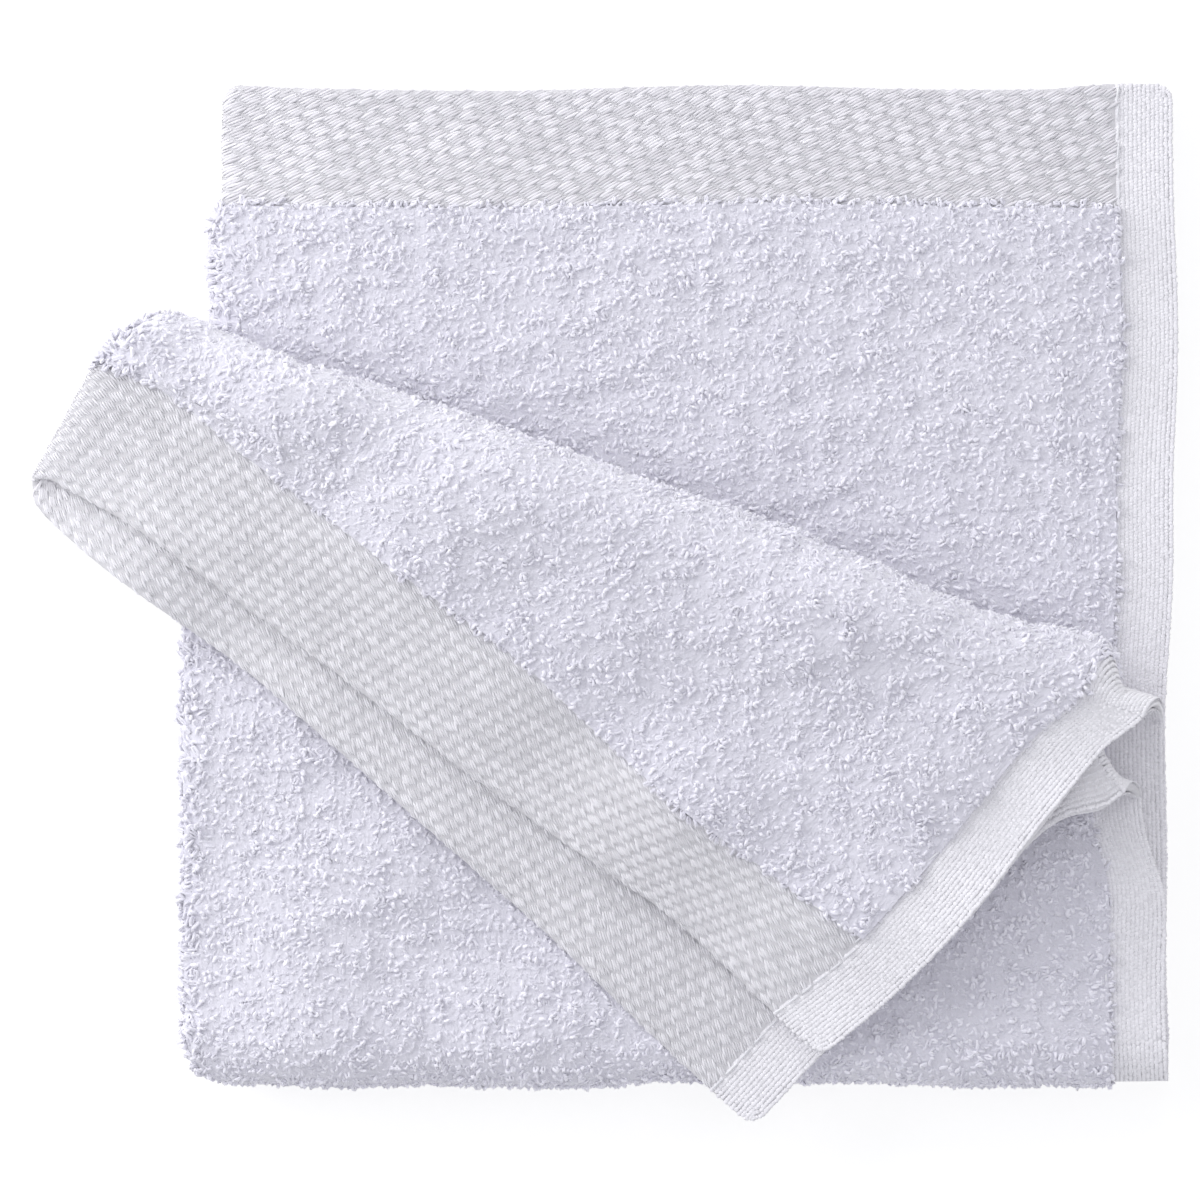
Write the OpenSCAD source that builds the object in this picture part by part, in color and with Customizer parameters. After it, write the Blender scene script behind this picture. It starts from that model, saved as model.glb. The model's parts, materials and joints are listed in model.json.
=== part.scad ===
// Square terry face towel, folded into quarters with one corner leaf turned down.
// The cloth lies on its back leaf. +Z is up, +X runs along the bottom fold and
// the origin is on the table under the middle of the folded towel.

/* [Cloth] */
// Thickness of one layer of terry cloth, loops on both faces included
terry_thickness = 3.2; // [2:0.1:5]
// Thickness of a turned hem
hem_thickness = 2.2; // [1:0.1:3]
// Air left between one layer of cloth and the next
layer_gap = 0.3; // [0.3:0.1:1]
// Width of the flat woven band at each end of the cloth
band_width = 18; // [10:0.5:30]
// Width of the turned hem along each side of the cloth
side_hem_width = 8.7; // [5:0.1:15]

/* [Back leaf] */
// Right hand edge of the back leaf
back_right = 85.5; // [60:0.5:110]
// Left hand fold of the back leaf
back_left = -57.8; // [-90:0.1:-30]
// Upper edge of the back leaf
back_top = 77.35; // [50:0.05:110]

/* [Front leaf] */
// Right hand edge of the front leaf
front_right = 84.8; // [60:0.1:110]
// Left hand fold of the front leaf
front_left = -63; // [-90:0.1:-30]
// Bottom fold, where the front leaf turns over onto the back leaf
bottom_edge = -72.8; // [-110:0.1:-40]

/* [Corner flap] */
// Slope of the crease across the leaf
crease_angle = 18.3; // [0:0.1:45]
// Distance from the origin to the centre line of the rolled crease
crease_offset = 9.4; // [0:0.1:30]
// Radius of the outer layer's middle where it rolls over at the crease
roll_radius = 8; // [5:0.1:20]
// Downward slope of the flap from the crease to its free edge
flap_slope = 4; // [0:0.5:15]
// Left end of the flap where it leaves the crease
flap_crease_left = -81.5; // [-110:0.1:-50]
// Position along the crease of the flap's left hand corner
flap_corner_left = -86.78; // [-120:0.05:-50]
// Reach of the upper layer at the flap's left hand corner
over_left_reach = 20.1; // [5:0.1:60]
// Reach of the upper layer at the flap's right hand corner
over_right_reach = 63.8; // [20:0.1:120]
// Position along the crease of the upper layer's right hand corner
over_corner_right = 52.7; // [20:0.1:100]
// Right end of the upper layer where it leaves the crease
over_crease_right = 81.6; // [40:0.1:110]
// Reach of the lower layer at the flap's left hand corner
under_left_reach = 23.1; // [5:0.1:60]
// Reach of the lower layer at the flap's right hand corner
under_right_reach = 75.5; // [20:0.05:120]
// Position along the crease of the lower layer's right hand corner
under_corner_right = 45.8; // [20:0.1:100]
// Right end of the lower layer where it leaves the crease
under_crease_right = 86.9; // [40:0.1:110]

/* [Sewing] */
// Width of a line of sewing thread
thread_width = 0.6; // [0.3:0.1:1]
// Height of the sewing thread above the cloth
thread_height = 0.35; // [0.1:0.05:0.6]
// Distance from a hem's inner edge to its sewing line
thread_inset = 1; // [0.5:0.1:3]

/* [Colours] */
// Terry cloth
terry_colour = "white";
// Woven band and hems
band_colour = "whitesmoke";
// Sewing thread
thread_colour = "snow";

/* [Hidden] */
$fn = 96;

half_circle = 180;
// Height from one layer of cloth to the next
layer_step = terry_thickness + layer_gap;
// Middle heights of the four layers, counted from the table
layer_1 = terry_thickness / 2;
layer_2 = layer_1 + layer_step;
layer_3 = layer_2 + layer_step;
layer_4 = layer_3 + layer_step;

// A fold of two neighbouring layers, measured at the outside of the terry
fold_outer = layer_step / 2 + terry_thickness / 2;
fold_inner = layer_gap / 2;
band_fold_outer = layer_step / 2 + hem_thickness / 2;
band_fold_inner = layer_step / 2 - hem_thickness / 2;

// Bottom fold of the four layers
bottom_z = (layer_1 + layer_4) / 2;
bottom_outer_radius = (layer_4 - layer_1) / 2;
bottom_inner_radius = (layer_3 - layer_2) / 2;
bottom_line = bottom_edge + bottom_outer_radius + terry_thickness / 2;
bottom_corner = (back_left + front_left) / 2 + fold_outer;
bottom_right = (back_right + front_right) / 2;

// Straight parts of the leaves
back_start = back_left + fold_outer;
back_hem = back_right - side_hem_width;
back_band = back_top - band_width;
front_start = front_left + fold_outer;
front_hem = front_right - side_hem_width;
front_bottom = bottom_line + layer_gap;

// Rolled crease
roll_z = layer_3 + roll_radius;
inner_roll_radius = roll_radius - layer_step;
roll_middle = (roll_radius + inner_roll_radius) / 2;
roll_turn = half_circle + flap_slope - layer_gap / inner_roll_radius * half_circle / PI;
roll_left = (flap_crease_left + leaf_to_crease(front_left)) / 2 + fold_outer;
roll_right = (over_crease_right + leaf_to_crease(front_right)) / 2;

// Corners of the flap's two layers: left and right at the crease, then at the free edge
over_a = [flap_crease_left, 0];
over_b = [flap_corner_left, -over_left_reach];
over_c = [over_corner_right, -over_right_reach];
over_d = [over_crease_right, 0];
under_a = [flap_crease_left, 0];
under_b = [flap_corner_left, -under_left_reach];
under_c = [under_corner_right, -under_right_reach];
under_d = [under_crease_right, 0];
// The flap's plates start this far from the rolled crease
flap_start = [[-1, -layer_gap], [1, -layer_gap]];
fold_direction = over_b - over_a;
fold_turn = atan2(-fold_direction[0], -fold_direction[1]);

// Height of the crease line across the leaf at a given x
function crease_y(x) = (crease_offset - x * sin(crease_angle)) / cos(crease_angle);
// Distance along the crease of the point where it crosses a given x
function leaf_to_crease(x) = x * cos(crease_angle) - crease_y(x) * sin(crease_angle);
// Unit direction from p to q
function direction(p, q) = (q - p) / norm(q - p);
// The line from p to q moved to its left by a distance
function inset(p, q, distance) =
    let (d = direction(p, q), s = [-d[1], d[0]] * distance) [p + s, q + s];
// The point where two lines, each given by two points, cross
function meet(m, n) =
    let (u = m[1] - m[0], v = n[1] - n[0]) m[0] + u * cross(n[0] - m[0], v) / cross(u, v);
// The four-sided outline between two left to right lines and two side lines
function outline(top, left, bottom, right) =
    [meet(top, left), meet(left, bottom), meet(bottom, right), meet(right, top)];
// Rectangle between two x and two y positions
function rectangle(x1, x2, y1, y2) = [[x1, y1], [x2, y1], [x2, y2], [x1, y2]];
// Part of the leaf from the bottom fold up to the crease between two x positions
function leaf_strip(x1, x2) =
    [[x1, front_bottom], [x2, front_bottom], [x2, crease_y(x2)], [x1, crease_y(x1)]];

// A flat plate of cloth about a middle height
module plate(points, middle, thickness) {
    translate([0, 0, middle - thickness / 2])
        linear_extrude(height = thickness)
            polygon(points);
}

// Cloth turned over a line along x, from straight down, round through +y
module turned(inner, outer, x1, x2, angle = half_circle) {
    rotate([0, 90, 0])
        rotate_extrude(angle = angle)
            translate([inner, x1])
                square([outer - inner, x2 - x1]);
}

// Corner of a doubled fold that is itself turned over a line along x
module turned_corner(middle, x, angle = half_circle) {
    rotate([0, 90, 0])
        rotate_extrude(angle = angle)
            translate([middle, x])
                difference() {
                    intersection() {
                        circle(r = fold_outer);
                        translate([-fold_outer, -fold_outer])
                            square([fold_outer * 2, fold_outer]);
                    }
                    circle(r = fold_inner);
                }
}

// Fold along y that closes two layers on their left
module left_fold(x, y1, y2, middle, inner, outer) {
    translate([x, 0, middle])
        rotate([0, 0, 90])
            turned(inner, outer, y1, y2);
}

// Bottom fold, turned about its own line
module at_bottom() {
    translate([0, bottom_line, bottom_z])
        mirror([0, 1, 0])
            children();
}

// Crease line: x along the crease, y up the leaf, z up, zero in the middle of the roll
module at_crease() {
    translate([crease_offset * sin(crease_angle), crease_offset * cos(crease_angle), roll_z])
        rotate([0, 0, -crease_angle])
            children();
}

// Flap: as the crease line, tipped by the slope of the flap
module at_flap() {
    at_crease()
        rotate([flap_slope, 0, 0])
            children();
}

// Line of sewing thread beside a line, on top of a plate or under it
module thread(line, x1, x2, middle, side) {
    plate(
        outline(x1, inset(line[0], line[1], thread_width), x2, line),
        middle + side * (hem_thickness + thread_height) / 2,
        thread_height
    );
}

module back_terry(middle) {
    color(terry_colour)
        plate(rectangle(back_start, back_hem, bottom_line, back_band), middle, terry_thickness);
}

module back_under_terry() {
    back_terry(layer_1);
}

module back_over_terry() {
    back_terry(layer_2);
}

module back_left_fold() {
    color(terry_colour)
        left_fold(back_start, bottom_line, back_band, (layer_1 + layer_2) / 2,
            fold_inner, fold_outer);
}

module back_end(middle) {
    color(band_colour)
        plate(rectangle(back_start, back_hem, back_band, back_top), middle, hem_thickness / 2);
}

module back_under_band() {
    back_end(layer_1 - hem_thickness / 4);
}

module back_over_band() {
    back_end(layer_2 + hem_thickness / 4);
}

module back_under_end_turning() {
    back_end(layer_1 + hem_thickness / 4);
}

module back_over_end_turning() {
    back_end(layer_2 - hem_thickness / 4);
}

module back_band_left_fold() {
    color(band_colour)
        left_fold(back_start, back_band, back_top, (layer_1 + layer_2) / 2,
            band_fold_inner, band_fold_outer);
}

module back_side_hem(middle) {
    color(band_colour)
        plate(rectangle(back_hem, back_right, bottom_line, back_top), middle, hem_thickness);
}

module back_under_side_hem() {
    back_side_hem(layer_1);
}

module back_over_side_hem() {
    back_side_hem(layer_2);
}

module back_side_thread(middle, side) {
    color(thread_colour)
        plate(
            rectangle(back_hem + thread_inset, back_hem + thread_inset + thread_width,
                bottom_line, back_top),
            middle + side * (hem_thickness + thread_height) / 2, thread_height);
}

module back_under_side_thread() {
    back_side_thread(layer_1, -1);
}

module back_over_side_thread() {
    back_side_thread(layer_2, 1);
}

module back_end_thread(middle, side) {
    color(thread_colour)
        plate(
            rectangle(back_start, back_hem,
                back_band + thread_inset, back_band + thread_inset + thread_width),
            middle + side * (hem_thickness + thread_height) / 2, thread_height);
}

module back_under_end_thread() {
    back_end_thread(layer_1, -1);
}

module back_over_end_thread() {
    back_end_thread(layer_2, 1);
}

module bottom_inner_fold() {
    color(terry_colour)
        at_bottom()
            turned(bottom_inner_radius - terry_thickness / 2,
                bottom_inner_radius + terry_thickness / 2,
                bottom_corner, bottom_right - side_hem_width);
}

module bottom_outer_fold() {
    color(terry_colour)
        at_bottom()
            turned(bottom_outer_radius - terry_thickness / 2,
                bottom_outer_radius + terry_thickness / 2,
                bottom_corner, bottom_right - side_hem_width);
}

module bottom_left_fold() {
    color(terry_colour)
        at_bottom()
            turned_corner((bottom_inner_radius + bottom_outer_radius) / 2, bottom_corner);
}

module bottom_inner_hem_fold() {
    color(band_colour)
        at_bottom()
            turned(bottom_inner_radius - hem_thickness / 2,
                bottom_inner_radius + hem_thickness / 2,
                bottom_right - side_hem_width, bottom_right);
}

module bottom_outer_hem_fold() {
    color(band_colour)
        at_bottom()
            turned(bottom_outer_radius - hem_thickness / 2,
                bottom_outer_radius + hem_thickness / 2,
                bottom_right - side_hem_width, bottom_right);
}

module front_terry(middle) {
    color(terry_colour)
        plate(leaf_strip(front_start, front_hem), middle, terry_thickness);
}

module front_under_terry() {
    front_terry(layer_3);
}

module front_over_terry() {
    front_terry(layer_4);
}

module front_left_fold() {
    color(terry_colour)
        left_fold(front_start, front_bottom, crease_y(front_start), (layer_3 + layer_4) / 2,
            fold_inner, fold_outer);
}

module front_side_hem(middle) {
    color(band_colour)
        plate(leaf_strip(front_hem, front_right), middle, hem_thickness);
}

module front_under_side_hem() {
    front_side_hem(layer_3);
}

module front_over_side_hem() {
    front_side_hem(layer_4);
}

module front_side_thread(middle, side) {
    color(thread_colour)
        plate(leaf_strip(front_hem + thread_inset, front_hem + thread_inset + thread_width),
            middle + side * (hem_thickness + thread_height) / 2, thread_height);
}

module front_under_side_thread() {
    front_side_thread(layer_3, -1);
}

module front_over_side_thread() {
    front_side_thread(layer_4, 1);
}

module crease_outer_roll() {
    color(terry_colour)
        at_crease()
            turned(roll_radius - terry_thickness / 2, roll_radius + terry_thickness / 2,
                roll_left, roll_right - side_hem_width, roll_turn);
}

module crease_inner_roll() {
    color(terry_colour)
        at_crease()
            turned(inner_roll_radius - terry_thickness / 2,
                inner_roll_radius + terry_thickness / 2,
                roll_left, roll_right - side_hem_width, roll_turn);
}

module crease_left_roll() {
    color(terry_colour)
        at_crease()
            turned_corner(roll_middle, roll_left, roll_turn);
}

module crease_outer_hem_roll() {
    color(band_colour)
        at_crease()
            turned(roll_radius - hem_thickness / 2, roll_radius + hem_thickness / 2,
                roll_right - side_hem_width, roll_right, roll_turn);
}

module crease_inner_hem_roll() {
    color(band_colour)
        at_crease()
            turned(inner_roll_radius - hem_thickness / 2, inner_roll_radius + hem_thickness / 2,
                roll_right - side_hem_width, roll_right, roll_turn);
}

module flap_terry(a, b, c, d, middle) {
    color(terry_colour)
        at_flap()
            plate(outline(flap_start, inset(a, b, fold_outer), inset(b, c, band_width),
                inset(c, d, side_hem_width)), middle, terry_thickness);
}

module flap_over_terry() {
    flap_terry(over_a, over_b, over_c, over_d, roll_radius);
}

module flap_under_terry() {
    flap_terry(under_a, under_b, under_c, under_d, inner_roll_radius);
}

module flap_end(a, b, c, d, middle) {
    color(band_colour)
        at_flap()
            plate(outline(inset(b, c, band_width), inset(a, b, fold_outer), [b, c],
                inset(c, d, side_hem_width)), middle, hem_thickness / 2);
}

module flap_over_band() {
    flap_end(over_a, over_b, over_c, over_d, roll_radius + hem_thickness / 4);
}

module flap_over_end_turning() {
    flap_end(over_a, over_b, over_c, over_d, roll_radius - hem_thickness / 4);
}

module flap_under_band() {
    flap_end(under_a, under_b, under_c, under_d, inner_roll_radius - hem_thickness / 4);
}

module flap_under_end_turning() {
    flap_end(under_a, under_b, under_c, under_d, inner_roll_radius + hem_thickness / 4);
}

// Fold along the flap's left edge between two distances from the crease
module flap_fold(near, far, inner, outer) {
    color(terry_colour)
        at_flap()
            translate([over_a[0], over_a[1], roll_middle])
                rotate([0, 0, -fold_turn])
                    translate([fold_outer, 0, 0])
                        rotate([0, 0, 90])
                            turned(inner, outer, -far, -near);
}

module flap_left_fold() {
    flap_fold(layer_gap + fold_outer, norm(fold_direction) - band_width / 2,
        fold_inner, fold_outer);
}

module flap_band_left_fold() {
    flap_fold(norm(fold_direction) - band_width / 2, norm(fold_direction),
        band_fold_inner, band_fold_outer);
}

module flap_side_hem(b, c, d, middle) {
    color(band_colour)
        at_flap()
            plate(outline(flap_start, inset(c, d, side_hem_width), [b, c], [c, d]),
                middle, hem_thickness);
}

module flap_over_side_hem() {
    flap_side_hem(over_b, over_c, over_d, roll_radius);
}

module flap_under_side_hem() {
    flap_side_hem(under_b, under_c, under_d, inner_roll_radius);
}

module flap_side_thread(b, c, d, middle, side) {
    color(thread_colour)
        at_flap()
            plate(
                outline(flap_start, inset(c, d, side_hem_width - thread_inset),
                    [b, c], inset(c, d, side_hem_width - thread_inset - thread_width)),
                middle + side * (hem_thickness + thread_height) / 2, thread_height);
}

module flap_over_side_thread() {
    flap_side_thread(over_b, over_c, over_d, roll_radius, 1);
}

module flap_under_side_thread() {
    flap_side_thread(under_b, under_c, under_d, inner_roll_radius, -1);
}

module flap_end_thread(a, b, c, d, middle, side) {
    color(thread_colour)
        at_flap()
            plate(
                outline(inset(b, c, band_width - thread_inset), inset(a, b, fold_outer),
                    inset(b, c, band_width - thread_inset - thread_width),
                    inset(c, d, side_hem_width)),
                middle + side * (hem_thickness + thread_height) / 2, thread_height);
}

module flap_over_end_thread() {
    flap_end_thread(over_a, over_b, over_c, over_d, roll_radius, 1);
}

module flap_under_end_thread() {
    flap_end_thread(under_a, under_b, under_c, under_d, inner_roll_radius, -1);
}

back_under_terry();
back_over_terry();
back_left_fold();
back_under_band();
back_over_band();
back_band_left_fold();
back_under_end_turning();
back_over_end_turning();
back_under_side_hem();
back_over_side_hem();
back_under_side_thread();
back_over_side_thread();
back_under_end_thread();
back_over_end_thread();
bottom_inner_fold();
bottom_outer_fold();
bottom_left_fold();
bottom_inner_hem_fold();
bottom_outer_hem_fold();
front_under_terry();
front_over_terry();
front_left_fold();
front_under_side_hem();
front_over_side_hem();
front_under_side_thread();
front_over_side_thread();
crease_outer_roll();
crease_inner_roll();
crease_left_roll();
crease_outer_hem_roll();
crease_inner_hem_roll();
flap_over_terry();
flap_under_terry();
flap_left_fold();
flap_over_band();
flap_under_band();
flap_band_left_fold();
flap_over_end_turning();
flap_under_end_turning();
flap_over_side_hem();
flap_under_side_hem();
flap_over_side_thread();
flap_under_side_thread();
flap_over_end_thread();
flap_under_end_thread();
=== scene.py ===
"""Looks for the folded terry face towel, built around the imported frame.

The cloth is made of patches: smooth functions that give the middle of the cloth
from two shares, p across it from the left fold to the side hem and q along it.
On the folds on the left, p runs round the fold instead. Woven ground, pile
loops, band floats, hem yarns and stitches are all laid on the patches.
"""

import json
import math
from itertools import product

import bpy
import numpy as np
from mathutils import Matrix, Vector


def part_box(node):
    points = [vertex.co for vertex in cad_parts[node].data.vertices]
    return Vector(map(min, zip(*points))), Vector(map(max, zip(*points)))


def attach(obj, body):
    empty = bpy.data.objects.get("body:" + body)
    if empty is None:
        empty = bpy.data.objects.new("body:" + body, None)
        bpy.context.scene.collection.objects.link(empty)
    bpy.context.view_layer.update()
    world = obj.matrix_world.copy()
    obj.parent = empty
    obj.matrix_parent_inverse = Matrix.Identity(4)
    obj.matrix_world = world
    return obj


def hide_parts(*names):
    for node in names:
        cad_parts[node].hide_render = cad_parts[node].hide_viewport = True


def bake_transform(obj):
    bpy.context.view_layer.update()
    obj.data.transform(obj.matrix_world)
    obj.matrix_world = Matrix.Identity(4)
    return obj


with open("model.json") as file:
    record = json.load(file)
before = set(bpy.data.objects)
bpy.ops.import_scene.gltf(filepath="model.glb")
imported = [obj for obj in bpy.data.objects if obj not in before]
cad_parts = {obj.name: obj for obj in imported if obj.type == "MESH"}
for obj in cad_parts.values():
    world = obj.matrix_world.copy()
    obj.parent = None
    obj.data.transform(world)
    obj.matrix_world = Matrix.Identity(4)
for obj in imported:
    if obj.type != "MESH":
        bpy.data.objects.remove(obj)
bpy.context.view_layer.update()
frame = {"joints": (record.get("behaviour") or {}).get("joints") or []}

MM = 0.001
UP = np.array([0.0, 0.0, 1.0])
DOWN = -UP
SOUTH = np.array([0.0, -1.0, 0.0])
WEST = np.array([-1.0, 0.0, 0.0])


def span(node):
    """Lowest and highest corner of a CAD node, in millimetres."""
    low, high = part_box(node)
    return np.array(low) / MM, np.array(high) / MM


# ---------------- sizes, in mm

BACK_LOW, BACK_HIGH = span("back_over_terry")
FRONT_LOW, FRONT_HIGH = span("front_over_terry")
HEM_HIGH = span("back_over_side_hem")[1]
FRONT_HEM_RIGHT = span("front_over_side_hem")[1][0]
LAYERS = [
    float(np.mean([span(n)[0][2], span(n)[1][2]]))
    for n in ("back_under_terry", "back_over_terry", "front_under_terry", "front_over_terry")
]
STEP = LAYERS[1] - LAYERS[0]
FOLD = STEP / 2
BACK_X, BACK_HEM_X, BACK_RIGHT = BACK_LOW[0], BACK_HIGH[0], HEM_HIGH[0]
FRONT_X, FRONT_HEM_X = FRONT_LOW[0], FRONT_HIGH[0]
BOTTOM_Y, BAND_Y, TOP_Y = BACK_LOW[1], BACK_HIGH[1], HEM_HIGH[1]
BOTTOM_Z = (LAYERS[0] + LAYERS[3]) / 2
BAND_WIDTH = TOP_Y - BAND_Y
HEM_WIDTH = BACK_RIGHT - BACK_HEM_X

# Half the thickness of the bands and hems, and of the terry without its standing loops
GROUND = 0.9
BED = 1.45
EDGE_RUN = 1.6  # how far in a free edge is rounded
CORNER_RADIUS = 2.6
LOWEST = 0.02  # no yarn or cloth lies lower
HALF_GAP = 0.02  # between a band and its turned end

FLAP_JOINT = next(j for j in frame["joints"] if j["name"] == "corner_flap_turn")
CREASE_ANGLE = math.atan2(FLAP_JOINT["axis"][1], -FLAP_JOINT["axis"][0])
SIN, COS = math.sin(CREASE_ANGLE), math.cos(CREASE_ANGLE)
CREASE_OFFSET = 9.4  # from the towel's middle
ROLL_LOW, ROLL_HIGH = span("crease_outer_roll")
ROLL_Z = (ROLL_LOW[2] + ROLL_HIGH[2]) / 2
OUTER_ROLL = ROLL_Z - LAYERS[2]
INNER_ROLL = ROLL_Z - LAYERS[3]
FLAP_SLOPE = math.radians(4)
ROLL_TURN = math.pi + FLAP_SLOPE

# Flap corners along the crease and away from it: at the crease on the left, at the
# free edge on the left and on the right, and at the crease on the right
OVER_CORNERS = np.array([[-82.7, 0], [-88.0, -18.6], [52.7, -63.8], [81.6, 0]])
UNDER_CORNERS = np.array([[-82.7, 0], [-88.0, -21.6], [46.4, -77.4], [82.8, 0]])
FOLD_INSET = 6.4  # from the flap's left outline to where its two layers end
OPEN_FOLD = 4.9  # how far the flap's left fold reaches beyond that
FLAP_HEM = HEM_WIDTH + 0.8

# Shape of the stack's sides: they round off and sink over this run
LEFT_SIDE, RIGHT_SIDE, SIDE_RUN = -61.0, 86.0, 20.0
SIDE_SINK, SINK_DEPTH = 3.1, 6.0
WANDER, SWELL_SHARE = 0.35, 0.05

# Shape of the flap and the roll, as places along the crease and sizes
FADE = 30.0  # the roll's bulges and slips fade out over this distance from it
RIDGE_KEPT = 0.57  # share of the roll's bulge left where the flap begins
HEM_START, HEM_RUN, HEM_PINCH = 73.0, 5.0, 0.7
SLIP_START, SLIP_RUN, SLIP = 68.0, 15.0, 12.0
DROOP_START, DROOP_RUN, DROOP, MOUTH = -61.0, 27.0, 9.5, 1.5
SETTLE = 1.2
TIP_DROP, TIP_DROP_MORE, TIP_RUN = 1.2, 1.3, 24.0
BOW_FADE = 40.0
CURL, SWAY, SWAY_START, SWAY_WAVE = 1.6, 1.5, 20.0, 88.0


# ---------------- soft shapes


def smooth(x):
    x = np.clip(x, 0, 1)
    return x * x * (3 - 2 * x)


def between(a, b, share):
    return a + (b - a) * share


def unit(v):
    return v / np.maximum(np.linalg.norm(v, axis=-1, keepdims=True), 1e-12)


def bump(x, middle, width):
    return np.exp(-(((x - middle) / width) ** 2))


def grid(a, b):
    """Every pair of values from a and b, as two lists."""
    return (g.ravel() for g in np.meshgrid(a, b, indexing="ij"))


def waves(seed, count, shortest, longest):
    """A gentle bumpy field between about -1 and 1, the same on each run."""
    rng = np.random.default_rng(seed)
    length = rng.uniform(shortest, longest, count)
    heading = rng.uniform(0, 2 * math.pi, count)
    phase = rng.uniform(0, 2 * math.pi, count)
    kx, ky = 2 * math.pi * np.cos(heading) / length, 2 * math.pi * np.sin(heading) / length

    def field(x, y):
        waves_at = np.sin(x[..., None] * kx + y[..., None] * ky + phase)
        return waves_at.sum(-1) / math.sqrt(count)

    return field


SWELL = waves(3, 9, 18, 60)
WANDER_X = waves(4, 6, 30, 110)
WANDER_Y = waves(5, 6, 30, 110)
COMB = waves(6, 8, 9, 26)
THICK = waves(8, 8, 5, 16)
PUFF = waves(9, 12, 3.5, 9)


def soften(points):
    """Lets the whole stack swell, round off at its sides and wander a little."""
    x, y, z = points.T
    left, right = (x - LEFT_SIDE) / SIDE_RUN, (RIGHT_SIDE - x) / SIDE_RUN
    sides = 1 - smooth(left) + 0.5 * (1 - smooth(right))
    sunk = SIDE_SINK * (1 - np.exp(-z / SINK_DEPTH)) * sides
    return np.column_stack(
        [
            x + WANDER * WANDER_X(y, 2 * z),
            y + WANDER * WANDER_Y(x, 2 * z),
            z * (1 + SWELL_SHARE * SWELL(x, y)) - sunk,
        ]
    )


def crease_y(x):
    return (CREASE_OFFSET - x * SIN) / COS


def leaf_to_crease(x):
    """Place along the crease where a line up the leaf at x meets it."""
    return x * COS - crease_y(x) * SIN


def from_crease(e, v, h):
    """From along the crease, across it and above its middle, to x, y, z."""
    e, v, h = np.broadcast_arrays(e, v, h)
    return np.column_stack(
        [
            CREASE_OFFSET * SIN + e * COS + v * SIN,
            CREASE_OFFSET * COS - e * SIN + v * COS,
            ROLL_Z + h,
        ]
    )


def ridge(e):
    """How far the rolled crease bulges up the towel, beyond a straight roll."""
    middle = 2.0 * bump(e, -28, 30)
    dip_by_hem = 1.7 * bump(e, 55, 16)
    left_end = 2.2 * smooth((-50 - e) / 25)
    return middle - dip_by_hem + left_end - 0.6


def hem_pinch(e):
    """The side hem has no pile, so the roll narrows where it crosses the hem."""
    return 1 - HEM_PINCH * smooth((e - HEM_START) / HEM_RUN)


def pull(e, height):
    """The roll's inner layer buckles at the hem, and turns over further down the leaf."""
    inner = (OUTER_ROLL - height) / STEP
    return SLIP * inner * smooth((e - SLIP_START) / SLIP_RUN)


def droop(e, s, height):
    """The flap's left end hangs free beyond the leaf. It sinks, and its lower layer opens.

    The rolled crease is stiff, so most of this happens at a distance s from it.
    """
    inner = (OUTER_ROLL - height) / STEP
    beyond = np.clip((DROOP_START - e) / DROOP_RUN, 0, 1.1)
    return (DROOP + MOUTH * inner) * beyond**2.3 * (0.3 + 0.7 * smooth(s / 20))


def unit_edge(corners):
    """A point on the flap's free edge and the direction from it into the flap."""
    along = corners[2] - corners[1]
    along = along / math.hypot(*along)
    return corners[1], np.array([-along[1], along[0]])


OVER_EDGE = unit_edge(OVER_CORNERS)
UNDER_EDGE = unit_edge(UNDER_CORNERS)


def inside(edge, e, w):
    """How far a point of the flap lies in from its free edge."""
    start, side = edge
    return (e - start[0]) * side[0] + (w - start[1]) * side[1]


def tip(e, w, height):
    """Both layers come down where they pass from the terry to the thin band."""
    outer = (height - INNER_ROLL) / STEP
    return (TIP_DROP + TIP_DROP_MORE * outer) * (1 - smooth(inside(OVER_EDGE, e, w) / TIP_RUN))


def drawn_in(e, left, more, start, rise, end):
    """A bow of an edge: left at its start, more after the rise, and fading out past its end."""
    return (left + more * smooth((e - start) / rise)) * (1 - smooth((e - end) / BOW_FADE))


def bow(e, w, height):
    """The flap's free edge and its band's inner edge are drawn in towards the crease."""
    if height == OUTER_ROLL:
        inwards = inside(OVER_EDGE, e, w)
        edge = drawn_in(e, 1.3, 3.0, -92, 28, 18)
        band = drawn_in(e, 1.3, 3.2, -92, 28, -15)
    else:
        inwards = inside(UNDER_EDGE, e, w)
        edge = band = drawn_in(e, 0, 3.0, -80, 40, 5)
    share = np.clip(inwards / BAND_WIDTH, 0, 1)
    rest = -w / np.maximum(-w + inwards - BAND_WIDTH, 1)
    return between(edge, band, share) * np.where(inwards < BAND_WIDTH, 1, smooth(rest))


def past_hem(e, w):
    """How far a point of the flap lies beyond the inner line of its side hem."""
    low, high = OVER_CORNERS[2], OVER_CORNERS[3]
    along = (high - low) / math.hypot(*(high - low))
    return (e - low[0]) * along[1] - (w - low[1]) * along[0] + HEM_WIDTH


def curl(e, w):
    """The flap's side hem rises towards its edge, except near the free corner."""
    rise = CURL * np.clip(past_hem(e, w) / HEM_WIDTH, 0, 1.3) ** 1.3
    return rise * smooth((inside(OVER_EDGE, e, w) - 6) / 30) * smooth(-w / 15)


def hem_sway(e, w):
    """The upper layer's side hem bows outwards in the middle of its length."""
    s = np.clip(-w, 0, SWAY_START + SWAY_WAVE / 2)
    sway = SWAY * np.sin(2 * math.pi * (s - SWAY_START) / SWAY_WAVE) * smooth(s / 8)
    return sway * smooth((past_hem(e, w) + 12) / 12)


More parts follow.
